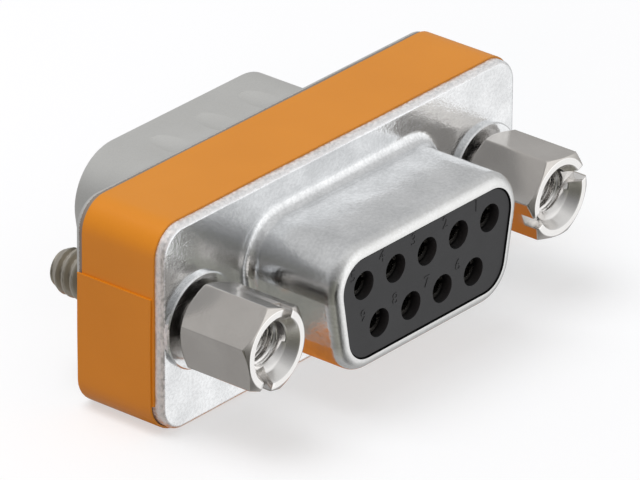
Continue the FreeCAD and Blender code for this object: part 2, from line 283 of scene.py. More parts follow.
def head_rings(angles, turn_deg, head_front):
    """Flats of the head, between the cones that trim its ends."""
    across = [hex_radius(a + math.radians(turn_deg)) - hex_face_radius for a in angles]
    steps = [(share, 0) for share in chamfer_shares] + [(1, edge_round), (1, 2 * edge_round)]
    rings = [chamfer_ring(across, share, run, head_front, 1) for share, run in steps]
    for share, run in reversed(steps):
        rings.append(chamfer_ring(across, share, run, head_front + head_length, -1))
    return rings


print("head", head_length, "long,", across_flats, "across flats")

# %% [markdown]
# Behind the head comes the shank, with the groove of its retaining ring, and then the thread, which
# grows out of the shank and ends in a chamfered tip.

# %% Shank and thread of a screw
shank_radius = 1.25
groove_radius = 0.95
float_gap = 0.05
thread_start = 6.7
run_out_slope = 1.25
tip_length = 0.75
tip_radius = 1.08


def shank_rings(count, head_back):
    """Back of the head, then the shank with the groove of the retaining ring."""
    ring_front, ring_back = node_span("left_retaining_ring", "Y")
    steps = [
        (hex_face_radius - edge_round, head_back),
        (shank_radius, head_back),
        (shank_radius, ring_front - float_gap),
        (groove_radius, ring_front - float_gap),
        (groove_radius, ring_back + float_gap),
        (shank_radius, ring_back + float_gap),
        (shank_radius, thread_start),
    ]
    return [plain_ring(count, radius, y) for radius, y in steps]


def thread_rings(angles, thread_end):
    """Thread behind the shank, from its run-out to its chamfered tip."""
    length = thread_end - thread_start
    rows = int(length / thread_pitch * rows_per_pitch)
    rings = []
    for row in range(rows + 1):
        y = thread_start + length * row / rows
        lead = min(1, max(0, (thread_end - y) / tip_length))
        tip_limit = tip_radius + (crest_radius - tip_radius) * lead
        limit = min(tip_limit, shank_radius + (y - thread_start) * run_out_slope)
        rings.append(threaded_ring(angles, y, external_root, crest_radius - external_root, limit))
    return rings


print("shank radius", shank_radius, "groove radius", groove_radius)

# %% [markdown]
# The stretches then stand in one stack, and a fan of triangles closes it at each end: in the tip of the
# drill's cone and on the flat end of the thread.

# %% Whole screw
def screw_mesh(name, x, turn_deg, node):
    """Skinned screw on the axis at x, as long as its CAD node."""
    head_front, thread_end = node_span(node, "Y")
    bore_end = head_front + bore_depth
    angles = screw_columns(turn_deg)
    count = len(angles)
    rings = bore_rings(angles, bore_end) + mouth_rings(count, head_front)
    rings += head_rings(angles, turn_deg, head_front) + shank_rings(count, head_front + head_length)
    rings += thread_rings(angles, thread_end)
    stack = []
    for radii, heights in rings:
        stack.append([(x + r * math.sin(a), y, r * math.cos(a)) for a, r, y in zip(angles, radii, heights)])
    points, faces = skin(stack)
    fan(points, faces, 0, count, (x, bore_end + drill_point, 0))
    fan(points, faces, (len(rings) - 1) * count, count, (x, thread_end, 0))
    return make_object(name, points, faces)


print("a screw has", len(screw_columns(0)), "columns")

# %% [markdown]
# A screwdriver slot crosses the mouth. It is milled into the finished head, and the mesh does the
# same: a cutter bar is subtracted, and a narrow bevel then breaks every edge that is still sharp.

# %% Mill the slots
slot_width = 0.86
slot_depth = 0.95
slot_run_in = 1.0
slot_reach = 3.2
bevel_width = 0.025
bevel_above_deg = 48.0


def cutter_bar(x, head_front, slot_deg):
    """Bar that crosses the head's face, to be cut away."""
    half = slot_width / 2
    direction = math.radians(slot_deg)
    points = []
    for y in (head_front - slot_run_in, head_front + slot_depth):
        for along, across in ((-1, -1), (1, -1), (1, 1), (-1, 1)):
            u = along * slot_reach
            v = across * half
            points.append((
                x + u * math.cos(direction) - v * math.sin(direction),
                y,
                u * math.sin(direction) + v * math.cos(direction),
            ))
    faces = [(0, 1, 2, 3), (4, 5, 6, 7), (0, 1, 5, 4), (1, 2, 6, 5), (2, 3, 7, 6), (3, 0, 4, 7)]
    return make_object("slot_cutter", points, faces)


def bake_modifiers(obj):
    """Replaces an object's mesh by what its modifiers make of it."""
    bpy.context.view_layer.update()
    seen = obj.evaluated_get(bpy.context.evaluated_depsgraph_get())
    made = bpy.data.meshes.new_from_object(seen)
    obj.modifiers.clear()
    obj.data = made
    finish_mesh(obj)


def mill_slot(obj, x, head_front, slot_deg):
    """Cuts the slot, then bevels every sharp edge."""
    cutter = cutter_bar(x, head_front, slot_deg)
    cut = obj.modifiers.new("slot", "BOOLEAN")
    cut.operation = "DIFFERENCE"
    cut.solver = "EXACT"
    cut.object = cutter
    bevel = obj.modifiers.new("broken_edges", "BEVEL")
    bevel.width = bevel_width * MM
    bevel.segments = 2
    bevel.limit_method = "ANGLE"
    bevel.angle_limit = math.radians(bevel_above_deg)
    bake_modifiers(obj)
    bpy.data.objects.remove(cutter)


screw_turns = {"left": (-screw_offset, 11.5, 67.0), "right": (screw_offset, -38.0, 22.0)}
for side, (x, turn_deg, slot_deg) in screw_turns.items():
    screw = screw_mesh(f"{side}_screw_body", x, turn_deg, f"{side}_jackscrew")
    mill_slot(screw, x, node_span(f"{side}_jackscrew", "Y")[0], slot_deg)
    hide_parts(f"{side}_jackscrew")
    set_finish(screw, "screw_nickel")
    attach(screw, f"{side}_screw")
    print(screw.name, len(screw.data.polygons), "faces")

# %% [markdown]
# ## The orange film
# The label is one strip of film, wound a little more than once round the box. It could be a plain
# shell, but then the lap on the left side, where the end lies over the start, would look moulded. So
# it is made as it is put on: a thin section carried along a path round the box, which climbs by one
# thickness when it meets its own start.

# %% Path round the box
film_start_z = -4.5
lap_top = 2.1
side_step = 0.7
corner_steps = 9


def straight(start, end, out):
    """Places along a straight run, with the direction that faces out of the box."""
    length = math.hypot(end[0] - start[0], end[1] - start[1])
    count = max(1, round(length / side_step))
    return [
        ((start[0] + (end[0] - start[0]) * i / count, start[1] + (end[1] - start[1]) * i / count), out)
        for i in range(count)
    ]


def bend(centre, start_deg):
    """Places round a corner's centre, a quarter turn clockwise from start_deg."""
    places = []
    for i in range(corner_steps):
        a = math.radians(start_deg - 90 * i / corner_steps)
        places.append((centre, (math.cos(a), math.sin(a))))
    return places


def film_path():
    """Core places and outward directions from the film's start to the end of its lap."""
    x = half_width - box_corner_radius
    z = half_height - box_corner_radius
    left, up, right, down = (-1, 0), (0, 1), (1, 0), (0, -1)
    path = straight((-x, film_start_z), (-x, z), left) + bend((-x, z), 180)
    path += straight((-x, z), (x, z), up) + bend((x, z), 90)
    path += straight((x, z), (x, -z), right) + bend((x, -z), 0)
    path += straight((x, -z), (-x, -z), down)
    lap_first = len(path)
    path += bend((-x, -z), 270) + straight((-x, -z), (-x, lap_top), left)
    path.append(((-x, lap_top), left))
    return path, lap_first


path, lap_first = film_path()
print("film path", len(path), "places, lap from", lap_first)

# %% [markdown]
# The strip's edges are cut by a die, but nobody applies it perfectly straight. A slow wander of a few
# hundredths of a millimetre keeps the edges from looking drawn with a ruler, and the lap sits further
# back than the layer under it, as in the photograph.

# %% Film strip
film_front = node_span("wrap_label", "Y")[0]
film_width = 5.3
film_back = film_front + film_width
lap_front_trim = 0.15
lap_shift = 0.27
film_gap = 0.004
wander = 0.018
slow_wave = 0.23
quick_wave = 0.61
quick_start = 1.0
quick_share = 0.6
back_share = 0.7
wander_room = (1 + quick_share) * wander
film_edge = 0.03
across_steps = 6


def film_section(index, core, out, lap):
    """Closed loop of points across the film at one place of its path."""
    ease = lap * lap * (3 - 2 * lap)
    sway = math.sin(index * slow_wave) + quick_share * math.sin(index * quick_wave + quick_start)
    front = film_front + wander_room + wander * sway + lap_front_trim * ease
    back = film_back - wander_room + wander * sway * back_share + lap_shift * ease
    base = box_corner_radius + film_gap * (1 + ease) + (film_thickness - 2 * film_gap) * ease
    top = base + film_thickness - film_gap
    outline = [(base, front), (top - film_edge, front)]
    for step in range(across_steps + 1):
        share = step / across_steps
        outline.append((top, front + film_edge + (back - front - 2 * film_edge) * share))
    outline += [(top - film_edge, back), (base, back)]
    return [(core[0] + out[0] * d, y, core[1] + out[1] * d) for d, y in outline]


rings = []
for index, (core, out) in enumerate(path):
    lap = min(1, max(0, (index - lap_first) / corner_steps))
    rings.append(film_section(index, core, out, lap))
points, faces = skin(rings)
faces.append(tuple(range(len(rings[0]))))
faces.append(tuple(len(points) - 1 - i for i in range(len(rings[0]))))
film = make_object("orange_film", points, faces)
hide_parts("wrap_label")
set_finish(film, "label_film")
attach(film, "housing")
print("film", len(film.data.polygons), "faces")

# %% [markdown]
# ## Contact numbers
# Small figures beside the holes tell the wiring apart. They are raised by a few hundredths of a
# millimetre in the mould, so they show only as faint shading. Text objects turned into meshes give
# clean outlines at no cost.

# %% Moulded numbers
figure_height = 0.72
letter_size_per_height = 1.4
figure_raise = 0.03
figure_curve_steps = 3
contact_pitch = 2.77
row_height = 1.42
figure_shift = {1: (-1.2, 1.25), -1: (-1.4, 1.0)}
row_counts = {1: 5, -1: 4}
face_core = (5.665, 1.45)
figure_reach = 1.2


def keep_on_face(x, z):
    """Pulls a figure's middle inwards where the face's rounded corner would cut it."""
    near = [max(-core, min(core, value)) for core, value in zip(face_core, (x, z))]
    away = math.hypot(x - near[0], z - near[1])
    pull = min(1, figure_reach / max(away, figure_reach))
    return near[0] + (x - near[0]) * pull, near[1] + (z - near[1]) * pull


def moulded_figure(number, x, z):
    """One raised figure on the socket's face, with its middle at (x, z)."""
    curve = bpy.data.curves.new(f"figure_{number}", "FONT")
    curve.body = str(number)
    curve.size = figure_height * letter_size_per_height * MM
    curve.extrude = figure_raise * MM
    curve.align_x = "CENTER"
    curve.resolution_u = figure_curve_steps
    text = bpy.data.objects.new(f"contact_figure_{number}", curve)
    bpy.context.scene.collection.objects.link(text)
    text.rotation_euler = (math.pi / 2, 0, 0)
    text.location = (x * MM, socket_face * MM, (z - figure_height / 2) * MM)
    bpy.context.view_layer.update()
    mesh = bpy.data.meshes.new_from_object(text.evaluated_get(bpy.context.evaluated_depsgraph_get()))
    mesh.transform(text.matrix_world)
    obj = bpy.data.objects.new(f"contact_number_{number}", mesh)
    bpy.context.scene.collection.objects.link(obj)
    bpy.data.objects.remove(text)
    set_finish(obj, "dark_insulator")
    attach(obj, "housing")
    return obj


figures = []
for row, count in row_counts.items():
    for index in range(count):
        x = ((count - 1) / 2 - index) * contact_pitch + figure_shift[row][0]
        z = row * row_height + figure_shift[row][1]
        figures.append(moulded_figure(len(figures) + 1, *keep_on_face(x, z)))
print("figures", len(figures))

# %% [markdown]
# ## Node helpers
# A material is a tree of nodes. It could be drawn by hand in the editor, but code keeps it the same
# each time. The first helper adds a node, and the second feeds an input with a link or with a plain
# value, so that everything after it can be given either.

# %% Nodes and links
def add(tree, kind, values=None, **settings):
    """New node with its settings, and with values for its input sockets."""
    node = tree.nodes.new(kind)
    for key, value in settings.items():
        setattr(node, key, value)
    for key, value in (values or {}).items():
        node.inputs[key].default_value = value
    return node


def join(tree, source, target):
    """Feeds an input from another node's socket, or with a plain number or colour."""
    if isinstance(source, bpy.types.NodeSocket):
        tree.links.new(source, target)
    elif target.type == "RGBA":
        target.default_value = (*source, 1)
    else:
        target.default_value = source


print("helpers", add.__name__, join.__name__)

# %% [markdown]
# The other helpers do the sums, mixes and patterns that every finish needs. A pattern could be laid on
# with an unwrapped map. Measured in millimetres of the object itself it needs none, and it keeps its
# scale on every piece.

# %% Sums, mixes and patterns
def maths(tree, operation, *parts):
    """Result of one sum; each part is a socket or a number."""
    node = add(tree, "ShaderNodeMath", operation=operation)
    for index, part in enumerate(parts):
        join(tree, part, node.inputs[index])
    return node.outputs[0]


def add_values(tree, first, second, factor=1.0):
    """first + second * factor."""
    return maths(tree, "MULTIPLY_ADD", second, factor, first)


def map_value(tree, source, low, high, start=0.0, end=1.0):
    """A value stretched from start..end to low..high, and held at those ends."""
    limits = {"From Min": start, "From Max": end, "To Min": low, "To Max": high}
    node = add(tree, "ShaderNodeMapRange", limits)
    join(tree, source, node.inputs["Value"])
    return node.outputs["Result"]


def mix(tree, data_type, sockets, parts):
    """Mix node; the sockets are the places of its mask, first, second and result."""
    node = add(tree, "ShaderNodeMix", data_type=data_type)
    for index, part in zip(sockets, parts):
        join(tree, part, node.inputs[index])
    return node.outputs[sockets[3]]


def mix_colours(tree, mask, first, second):
    """Colour that goes from the first to the second with the mask."""
    return mix(tree, "RGBA", (0, 6, 7, 2), (mask, first, second))


def mix_values(tree, mask, first, second):
    """Value that goes from the first to the second with the mask."""
    return mix(tree, "FLOAT", (0, 2, 3, 0), (mask, first, second))


def scaled_place(tree, size):
    """The place on the object, counted in multiples of a size in millimetres."""
    place = add(tree, "ShaderNodeTexCoord")
    scaled = add(tree, "ShaderNodeVectorMath", operation="SCALE")
    join(tree, place.outputs["Object"], scaled.inputs[0])
    join(tree, maths(tree, "DIVIDE", 1 / MM, size), scaled.inputs["Scale"])
    return scaled.outputs[0]


def noise(tree, place, detail, roughness):
    """Noise whose blobs are about one unit of the place across."""
    node = add(tree, "ShaderNodeTexNoise", {"Scale": 1.0, "Detail": detail, "Roughness": roughness})
    join(tree, place, node.inputs["Vector"])
    return node.outputs["Fac"]


print("helpers", maths.__name__, mix.__name__, noise.__name__)

# %% [markdown]
# ## Shared effect: plated skin
# Thin plating over drawn steel is never even. There is a slow cloudiness of several millimetres, and
# over it a fine grain of a tenth of a millimetre that makes reflections sparkle. One group holds both,
# and each finish places it with its own sizes and strengths.

# %% Plated skin group
cloud_limits = (0.3, 0.7)
speckle_limits = (0.4, 0.6)


def new_group(name, inputs, outputs):
    """Empty node group; inputs are names with their defaults, outputs are names of values."""
    tree = bpy.data.node_groups.new(name, "ShaderNodeTree")
    for label, default in inputs.items():
        socket = tree.interface.new_socket(label, in_out="INPUT", socket_type="NodeSocketFloat")
        socket.default_value = default
    for label in outputs:
        tree.interface.new_socket(label, in_out="OUTPUT", socket_type="NodeSocketFloat")
    return tree, add(tree, "NodeGroupInput").outputs, add(tree, "NodeGroupOutput").inputs


def make_plated_skin():
    """Group: cloud and grain as tones, and a height in millimetres."""
    sizes = {"Cloud Size": 4.0, "Grain Size": 0.12, "Cloud Height": 0.01, "Grain Height": 0.002}
    tree, given, result = new_group("Plated Skin", sizes, ("Tone", "Grain", "Speckle", "Height"))
    cloud = noise(tree, scaled_place(tree, given["Cloud Size"]), detail=3.0, roughness=0.5)
    grain = noise(tree, scaled_place(tree, given["Grain Size"]), detail=2.0, roughness=0.7)
    join(tree, map_value(tree, cloud, 0.0, 1.0, *cloud_limits), result["Tone"])
    join(tree, grain, result["Grain"])
    join(tree, map_value(tree, grain, 0.0, 1.0, *speckle_limits), result["Speckle"])
    low = maths(tree, "MULTIPLY", cloud, given["Cloud Height"])
    join(tree, maths(tree, "MULTIPLY_ADD", grain, given["Grain Height"], low), result["Height"])
    return tree


plated_skin = make_plated_skin()
print("group", plated_skin.name, "with", len(plated_skin.nodes), "nodes")

# %% [markdown]
# ## Shared effect: handling marks
# Parts tumble in boxes and pass through hands, which leaves short hairline scratches. Noise that is
# squeezed in one direction breaks into streaks, and a narrow threshold keeps only the thinnest. Two
# sets at an angle avoid a combed look.

# %% Handling marks group
streak_sets = ((28, 7.0), (-51, 9.0))
streak_lean = 0.3
cross_share = 0.6
noise_middle = 0.5
hairline = 0.008
patch_limits = (0.48, 0.66)


def streaks(tree, size, angle_deg, stretch):
    """Mask of thin streaks that lie at an angle in the plane of the face."""
    turn = add(tree, "ShaderNodeMapping")
    angle = math.radians(angle_deg)
    turn.inputs["Rotation"].default_value = (angle, angle, streak_lean)
    turn.inputs["Scale"].default_value = (1.0, stretch, stretch * cross_share)
    join(tree, scaled_place(tree, size), turn.inputs["Vector"])
    wave = noise(tree, turn.outputs["Vector"], detail=1.0, roughness=0.4)
    from_middle = maths(tree, "ABSOLUTE", maths(tree, "SUBTRACT", wave, noise_middle))
    return map_value(tree, from_middle, 1.0, 0.0, 0.0, hairline)


def make_handling_marks():
    """Group: mask of hairline scratches, in patches."""
    sizes = {"Mark Size": 3.0, "Patch Size": 5.0, "Amount": 0.5}
    tree, given, result = new_group("Handling Marks", sizes, ("Mask",))
    first, second = [streaks(tree, given["Mark Size"], *values) for values in streak_sets]
    patch = noise(tree, scaled_place(tree, given["Patch Size"]), detail=1.0, roughness=0.5)
    where = map_value(tree, patch, 0.0, 1.0, *patch_limits)
    sparse = maths(tree, "MULTIPLY", maths(tree, "MAXIMUM", first, second), where)
    join(tree, maths(tree, "MULTIPLY", sparse, given["Amount"]), result["Mask"])
    return tree


handling_marks = make_handling_marks()
print("group", handling_marks.name, "with", len(handling_marks.nodes), "nodes")

# %% [markdown]
# ## Building a metal
# Every finish here has the same skeleton: a Principled shader whose colour, roughness and bump come
# from the shared groups. The function for metals lays it down once, and each metal then names only its
# own values. A metal can also have zones, where another colour, roughness or share of metal rules.

# %% Finish builder
scratch_roughness = 0.18
scratch_depth = 0.0015


def place_group(tree, group, values):
    """Outputs of a node group placed in a material with its own values."""
    return add(tree, "ShaderNodeGroup", values, node_tree=group).outputs


def new_finish(name):
    """Material with a Principled shader; returns the material, its tree and the shader's inputs."""
    material = bpy.data.materials.new(name)
    material.use_nodes = True
    return material, material.node_tree, material.node_tree.nodes["Principled BSDF"].inputs


def give_bump(tree, inputs, height):
    """Bump from a height in millimetres."""
    bump = add(tree, "ShaderNodeBump", {"Strength": 1.0, "Distance": 1.0})
    join(tree, maths(tree, "MULTIPLY", height, MM), bump.inputs["Height"])
    join(tree, bump.outputs["Normal"], inputs["Normal"])


def metal_finish(name, dark, light, rough, skin_values, mark_amount, zones=(), grain_share=0.3):
    """Plated metal: cloudy colour, roughness that follows the clouds, grain and hairlines.

    Each zone is a function that gives a mask, with the colour, the roughness and the share of metal
    that rule inside it.
    """
    material, tree, inputs = new_finish(name)
    surface = place_group(tree, plated_skin, skin_values)
    marks = place_group(tree, handling_marks, {"Amount": mark_amount})["Mask"]
    grey = mix_values(tree, grain_share, surface["Tone"], surface["Speckle"])
    colour = mix_colours(tree, grey, dark, light)
    roughness = add_values(tree, map_value(tree, grey, rough[1], rough[0]), marks, scratch_roughness)
    metallic = 1.0
    for find_mask, zone_colour, zone_roughness, zone_metallic in zones:
        mask = find_mask(tree, surface["Grain"])
        colour = mix_colours(tree, mask, colour, zone_colour)
        roughness = mix_values(tree, mask, roughness, zone_roughness)
        if zone_metallic != metallic:
            metallic = mix_values(tree, mask, metallic, zone_metallic)
    join(tree, colour, inputs["Base Color"])
    join(tree, roughness, inputs["Roughness"])
    join(tree, metallic, inputs["Metallic"])
    give_bump(tree, inputs, add_values(tree, surface["Height"], marks, -scratch_depth))
    return material


print("hairlines", scratch_depth, "mm deep")

# %% [markdown]
# ## Zones of one metal
# The same plate looks different where it was worked, and two zones hold painted light. The flange's
# sheared edge is rough, and a pale, partly non-metal colour along it is a painted highlight; the rolled
# rim is dulled by every plug that slid over it; the lathe leaves the mouth of a screw brighter than its
# drawn flats; and a painted shadow follows the rear edge of the film. Each zone is found from the place
# on the piece: how far it lies from an outline or an axis, or how far back it is.

# %% Places on a piece
def place_in_mm(tree):
    """The place on the object, one socket for each axis, in millimetres."""
    split = add(tree, "ShaderNodeSeparateXYZ")
    join(tree, scaled_place(tree, 1.0), split.inputs[0])
    return split.outputs


def distance(tree, across, up):
    """Length of the straight line that has these two legs."""
    legs = add(tree, "ShaderNodeCombineXYZ")
    join(tree, across, legs.inputs[0])
    join(tree, up, legs.inputs[1])
    length = add(tree, "ShaderNodeVectorMath", operation="LENGTH")
    join(tree, legs.outputs[0], length.inputs[0])
    return length.outputs["Value"]


def from_either_side(tree, coordinate, offset):
    """How far a coordinate lies outside an offset that is the same on both sides of the middle."""
    return maths(tree, "SUBTRACT", maths(tree, "ABSOLUTE", coordinate), offset)


def outside(tree, coordinate, offset):
    """How far a coordinate lies outside the offset, and 0 inside it."""
    return maths(tree, "MAXIMUM", from_either_side(tree, coordinate, offset), 0.0)


print("places are in millimetres of the object")

# %% [markdown]
# The border of a worked zone is never a clean line, so the grain of the skin frays it: it shifts the
# border of the painted highlight on the sheared edge and of the painted shadow along the film's rear
# edge, and thins out the wear on the rim.

# %% Zones of the shells
edge_band = (0.20, 0.13)
edge_fray = 0.16
half_grain = 0.5
sheared_highlight_least = 0.4
sheared_highlight_grain = (0.42, 0.58)
rim_zone = (-5.5, -6.1)
rim_least = 0.7
painted_shadow_reach = 0.27
painted_shadow_strength = 0.75


def sheared_edge(tree, grain):
    """Painted highlight on the sheared edge: a frayed band along the outline of the flange, broken up by
    the grain.
    """
    across, _, up = place_in_mm(tree)
    across = outside(tree, across, half_width - box_corner_radius)
    up = outside(tree, up, half_height - box_corner_radius)
    frayed = add_values(tree, distance(tree, across, up), grain, edge_fray)
    outline = box_corner_radius + edge_fray * half_grain
    band = map_value(tree, frayed, 0.0, 1.0, outline - edge_band[0], outline - edge_band[1])
    return maths(tree, "MULTIPLY", band, map_value(tree, grain, sheared_highlight_least, 1.0, *sheared_highlight_grain))


def rolled_rim(tree, grain):
    """Front of the D-shaped tube, dulled in some places more than in others."""
    front = map_value(tree, place_in_mm(tree)[1], 0.0, 1.0, *rim_zone)
    return maths(tree, "MULTIPLY", front, map_value(tree, grain, 1.0, rim_least, *speckle_limits))


def glue_line(tree, grain):
    """Painted shadow along the rear edge of the film."""
    frayed = add_values(tree, place_in_mm(tree)[1], grain, edge_fray)
    limit = film_back + edge_fray * half_grain + painted_shadow_reach
    return map_value(tree, frayed, painted_shadow_strength, 0.0, limit - edge_round, limit)


print("zones along the edge", edge_band, "and the rim", rim_zone)

# %% [markdown]
# On a screw the lathe leaves a clean border, and in the insulators the holes are painted darker
# inwards, as shade, because no light reaches their bottom. These zones need no grain, but they are
# handed it all the same, so that a finish can ask any zone in one way.

# %% Zones of the screws and the insulators
mouth_zone_radius = 2.36
mouth_zone_depth = 3.2
thread_zone = (6.3, 6.7)
hole_shade = (0.05, 0.5)


def turned_mouth(tree, grain):
    """Face, cone and bore of a screw's head."""
    across, along, up = place_in_mm(tree)
    radius = distance(tree, from_either_side(tree, across, screw_offset), up)
    inside = map_value(tree, radius, 1.0, 0.0, mouth_zone_radius - edge_round, mouth_zone_radius)
    floor = node_span("left_jackscrew", "Y")[0] + mouth_zone_depth
    return maths(tree, "MULTIPLY", inside, map_value(tree, along, 1.0, 0.0, floor - edge_round, floor))


def thread_end_zone(tree, grain):
    """Screw end behind the box."""
    return map_value(tree, place_in_mm(tree)[1], 0.0, 1.0, *thread_zone)


def inside_holes(tree, grain):
    """Painted shade on the walls of the insulators' holes and gaps, where no light reaches the bottom."""
    along = place_in_mm(tree)[1]
    plug_face = node_span("plug_insulator", "Y")[1]
    below_front = map_value(tree, along, 0.0, 1.0, socket_face + hole_shade[0], socket_face + hole_shade[1])
    below_back = map_value(tree, along, 1.0, 0.0, plug_face - hole_shade[1], plug_face - hole_shade[0])
    return maths(tree, "MULTIPLY", below_front, below_back)


print("mouth zone", mouth_zone_radius, "in radius and", mouth_zone_depth, "deep")

# %% [markdown]
# ## Metal finishes
# The socket's shell is bright tin plate, the plug's shell a satin nickel, and the screws a warmer
# nickel. They could share one material, but the photograph shows three different greys, and the
# difference between them is what makes the box read as several pieces.

# %% Metals
bright_plate = metal_finish(
    "bright_plate",
    dark=(0.70, 0.71, 0.72),
    light=(0.94, 0.95, 0.96),
    rough=(0.11, 0.25),
    skin_values={"Cloud Size": 2.2, "Grain Size": 0.2, "Cloud Height": 0.035, "Grain Height": 0.011},
    mark_amount=0.5,
    # On the sheared edge, a near-white colour with little metal is a painted highlight over a rough edge.
    zones=[(sheared_edge, (0.97, 0.98, 0.99), 0.5, 0.35), (rolled_rim, (0.76, 0.76, 0.75), 0.24, 1.0)],
    grain_share=0.35,
)
satin_plate = metal_finish(
    "satin_plate",
    dark=(0.78, 0.78, 0.76),
    light=(0.87, 0.87, 0.85),
    rough=(0.36, 0.46),
    skin_values={"Cloud Size": 5.0, "Grain Size": 0.09, "Cloud Height": 0.01, "Grain Height": 0.002},
    mark_amount=0.4,
    # A dark brown band behind the film's rear edge is a painted shadow.
    zones=[(glue_line, (0.10, 0.08, 0.06), 0.7, 0.0)],
)
screw_nickel = metal_finish(
    "screw_nickel",
    dark=(0.60, 0.57, 0.54),
    light=(0.70, 0.67, 0.635),
    rough=(0.14, 0.22),
    skin_values={"Cloud Size": 2.6, "Grain Size": 0.08, "Cloud Height": 0.006, "Grain Height": 0.0012},
    mark_amount=0.5,
    zones=[(turned_mouth, (0.88, 0.865, 0.85), 0.2, 1.0), (thread_end_zone, (0.56, 0.52, 0.45), 0.3, 1.0)],
)
contact_plate = metal_finish(
    "contact_plate",
    dark=(0.38, 0.36, 0.33),
    light=(0.50, 0.48, 0.45),
    rough=(0.2, 0.3),
    skin_values={"Cloud Size": 1.5, "Grain Size": 0.06, "Cloud Height": 0.002, "Grain Height": 0.0006},
    mark_amount=0.2,
)
print("metals", bright_plate.name, satin_plate.name, screw_nickel.name, contact_plate.name)

# %% [markdown]
# ## Plastic, board and film
# The insulator is a matt moulded plastic, filled with glass fibre, so it is not black but a dark slate
# with a fine speckle, and its holes are painted darker inwards as shade. The board has a green resist.
# The film is a satin print: even from afar, with a faint texture close up. Hairlines on plastic are
# polished rather than rough, so here they lower the roughness.

# %% Plastic, board and film
grain_weight = 0.6
hairline_polish = 0.1


def plastic_finish(name, dark, light, rough, skin_values, mark_amount, zones=()):
    """Plastic with a soft cloud in its colour and a fine skin; a zone is a mask function and a colour."""
    material, tree, inputs = new_finish(name)
    surface = place_group(tree, plated_skin, skin_values)
    marks = place_group(tree, handling_marks, {"Amount": mark_amount})["Mask"]
    tone = add_values(tree, surface["Tone"], surface["Grain"], grain_weight)
    colour = mix_colours(tree, map_value(tree, tone, 0.0, 1.0, 0.0, 1.0 + grain_weight), dark, light)
    for find_mask, zone_colour in zones:
        colour = mix_colours(tree, find_mask(tree, surface["Grain"]), colour, zone_colour)
    join(tree, colour, inputs["Base Color"])
    smooth = map_value(tree, surface["Grain"], *rough)
    join(tree, add_values(tree, smooth, marks, -hairline_polish), inputs["Roughness"])
    give_bump(tree, inputs, surface["Height"])
    return material


dark_insulator = plastic_finish(
    "dark_insulator",
    dark=(0.024, 0.025, 0.028),
    light=(0.036, 0.038, 0.042),
    rough=(0.42, 0.6),
    skin_values={"Cloud Size": 3.0, "Grain Size": 0.1, "Cloud Height": 0.003, "Grain Height": 0.003},
    mark_amount=0.5,
    # The near-black colour deep in the holes is painted shade.
    zones=[(inside_holes, (0.004, 0.004, 0.005))],
)
board_resist = plastic_finish(
    "board_resist",
    dark=(0.02, 0.12, 0.04),
    light=(0.03, 0.19, 0.07),
    rough=(0.3, 0.45),
    skin_values={"Cloud Size": 1.2, "Grain Size": 0.3, "Cloud Height": 0.003, "Grain Height": 0.004},
    mark_amount=0.2,
)
label_film = plastic_finish(
    "label_film",
    dark=(0.71, 0.258, 0.009),
    light=(0.77, 0.288, 0.014),
    rough=(0.36, 0.48),
    skin_values={"Cloud Size": 6.0, "Grain Size": 0.16, "Cloud Height": 0.012, "Grain Height": 0.0015},
    mark_amount=0.4,
)
print("plastics", dark_insulator.name, board_resist.name, label_film.name)

# %% [markdown]
# ## Giving each piece its finish
# The record of the CAD model names a finish for every node, so a short table of names is enough to
# dress them all. New pieces get theirs by their own slot.

# %% Assign finishes
finishes = {
    "bright_plate": bright_plate,
    "satin_plate": satin_plate,
    "screw_nickel": screw_nickel,
    "contact_plate": contact_plate,
    "dark_insulator": dark_insulator,
    "board": board_resist,
    "label_film": label_film,
}


def dress(obj, material):
    """Gives an object one material and drops the others."""
    obj.data.materials.clear()
    obj.data.materials.append(material)


for part in frame["record"]["subparts"]:
    dress(nodes[part["node"]], finishes[part["material_slot"]])
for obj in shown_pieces():
    if "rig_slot" in obj:
        dress(obj, finishes[obj["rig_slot"]])

# %% [markdown]
# ## Floor
# Product photographs stand on a white sweep. The floor is a pale matt plane that keeps the object's
# shadow, and a part of its brightness is given only to the rays that a viewer sends, so that it reaches
# white without more light falling on the object. It is hidden from mirrored rays, because the tent in
# the next cell is painted all the way round for them.

# %% Floor
floor_half = 400.0
floor_glow = 0.55
floor_colour = (0.48, 0.50, 0.52)
floor_roughness = 0.9
white = (1, 1, 1)


def by_ray(tree, plain, levels):
    """One value for plain light, and others for the kinds of ray that are named."""
    value = plain
    for kind, level in levels.items():
        rays = add(tree, "ShaderNodeLightPath")
        value = mix_values(tree, rays.outputs[kind], value, level)
    return value


def glowing_finish(name, colour, glow_colour, plain_glow, levels):
    """Matt finish without gloss, with a glow that can differ by the kind of ray."""
    material, tree, inputs = new_finish(name)
    join(tree, colour, inputs["Base Color"])
    join(tree, floor_roughness, inputs["Roughness"])
    join(tree, 0.0, inputs["Specular IOR Level"])
    join(tree, glow_colour, inputs["Emission Color"])
    join(tree, by_ray(tree, plain_glow, levels), inputs["Emission Strength"])
    return material


def flat_sheet(name, x_span, y_span, z):
    """Flat rectangle at one height."""
    corners = [(x_span[0], y_span[0], z), (x_span[1], y_span[0], z)]
    corners += [(x_span[1], y_span[1], z), (x_span[0], y_span[1], z)]
    return make_object(name, corners, [(0, 1, 2, 3)])


floor_span = (-floor_half, floor_half)
floor = flat_sheet("floor", floor_span, floor_span, film_bottom)
floor.visible_glossy = False
dress(floor, glowing_finish("sweep_white", floor_colour, white, 0.0, {"Is Camera Ray": floor_glow}))
print("floor at", film_bottom, "mm")

# %% [markdown]
# ## The tent that metal mirrors
# Metal has no colour of its own until it mirrors something. Lamps and cards could stand round the
# object, but a world painted in soft spots has no hard edges to mirror. The reflections in the
# photograph were traced back from known faces: a white wall on the right in front, a dim room on the
# left where the viewer stands, a dark card straight in front with the object's own shadow below it, and
# grey above and behind.

# %% Walls of the tent
tent_level = 0.561
tent_slope = (0.0, -0.129, 0.111)
